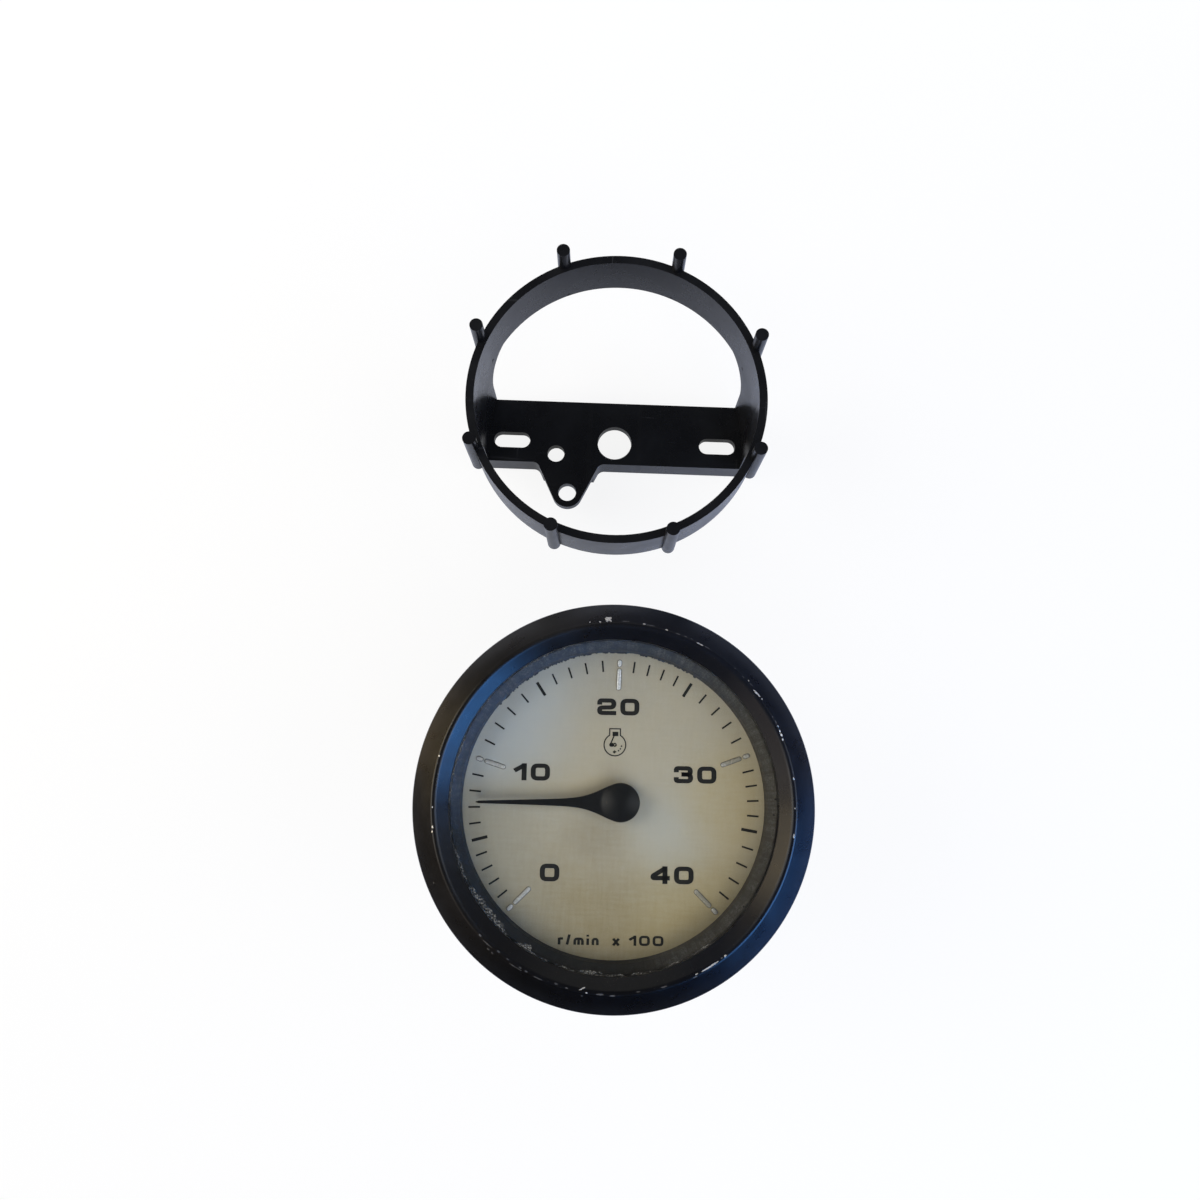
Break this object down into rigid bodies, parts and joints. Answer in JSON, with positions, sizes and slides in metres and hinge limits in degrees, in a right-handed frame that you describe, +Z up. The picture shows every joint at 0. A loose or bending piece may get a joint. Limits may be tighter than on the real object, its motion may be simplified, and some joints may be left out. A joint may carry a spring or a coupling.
{
  "type": "tachometer",
  "caption": "Round panel tachometer with a black metal bezel, silver dial, teardrop pointer and rear studs, beside its ring-shaped mounting bracket with pegs and a slotted bar.",
  "frame": {"origin": "centre of the underside of the gauge and bracket together, on the surface that the studs and the bracket's bar stand on", "axes": "+Z up out of the dial, +Y from the gauge to the bracket and towards the dial's top mark, +X to the right of the dial"},
  "size_m": [0.1016, 0.2118, 0.0783],
  "materials": {
    "bezel_paint": "satin black paint, chipped along the lip",
    "lens_glass": "clear, slightly dusty",
    "black_plastic": "moulded semi-matt",
    "bracket_plastic": "moulded, semi-gloss, rubbed edges",
    "rubber_seal": "matt",
    "mask_grey": "dusty grey",
    "dial_silver": "fine silver print",
    "bright_mark": "polished",
    "white_plastic": "satin",
    "pointer_black": "smooth black",
    "brass": "satin",
    "steel": "zinc plated",
    "magnet_grey": "sintered",
    "copper_wire": "enamelled copper",
    "board_green": "solder mask",
    "blue_sleeve": "shrink sleeve",
    "resistor_tan": "lacquer",
    "trimmer_blue": "moulded",
    "fibre_red": "vulcanised fibre",
    "bulb_glass": "clear"
  },
  "bodies": {
    "gauge": {"case": "black_plastic", "bezel": "bezel_paint", "lens": "lens_glass", "lens_gasket": "rubber_seal", "panel_gasket": "rubber_seal", "mask_ring": "mask_grey", "dial": "dial_silver", "index_marks": "bright_mark", "light_box": "white_plastic", "former_lower": "black_plastic", "former_upper": "black_plastic", "coil_sine": "copper_wire", "coil_cosine": "copper_wire", "shield_can": "steel", "circuit_board": "board_green", "board_screws": "steel", "driver_chip": "black_plastic", "capacitors": "blue_sleeve", "resistors": "resistor_tan", "selector_switch": "black_plastic", "trimmer_body": "trimmer_blue", "mounting_studs": "steel", "mounting_nuts": "steel", "lock_washers": "steel", "terminal_studs": "brass", "terminal_insulators": "fibre_red", "terminal_nuts": "brass", "terminal_straps": "brass"},
    "needle": {"pointer": "pointer_black", "pointer_bush": "brass", "pointer_spindle": "steel", "rotor_magnet": "magnet_grey"},
    "selector": {"selector_shaft": "white_plastic"},
    "trimmer": {"trimmer_rotor": "white_plastic"},
    "lamp": {"lamp_socket": "black_plastic", "lamp_blades": "brass", "lamp_bulb": "bulb_glass"},
    "mounting_bracket": {"bracket": "bracket_plastic"}
  },
  "joints": [
    {"name": "pointer_spin", "type": "hinge", "parent": "gauge", "child": "needle", "pos_m": [0, -0.05505, 0.0657], "axis": [0, 0, -1], "range_deg": [-46, 228]},
    {"name": "selector_turn", "type": "hinge", "parent": "gauge", "child": "selector", "pos_m": [0, -0.05505, 0.02], "axis": [0, 0, -1], "range_deg": [-60, 60]},
    {"name": "trimmer_turn", "type": "hinge", "parent": "gauge", "child": "trimmer", "pos_m": [-0.0195, -0.05935, 0.036], "axis": [0, 0, -1], "range_deg": [-135, 135]},
    {"name": "lamp_twist", "type": "hinge", "parent": "gauge", "child": "lamp", "pos_m": [0, -0.02905, 0.0172], "axis": [0, 0, 1], "range_deg": [-45, 0]},
    {"name": "bracket_lift", "type": "slide", "parent": "gauge", "child": "mounting_bracket", "axis": [0, 0, 1], "range_m": [0, 0.08]}
  ]
}
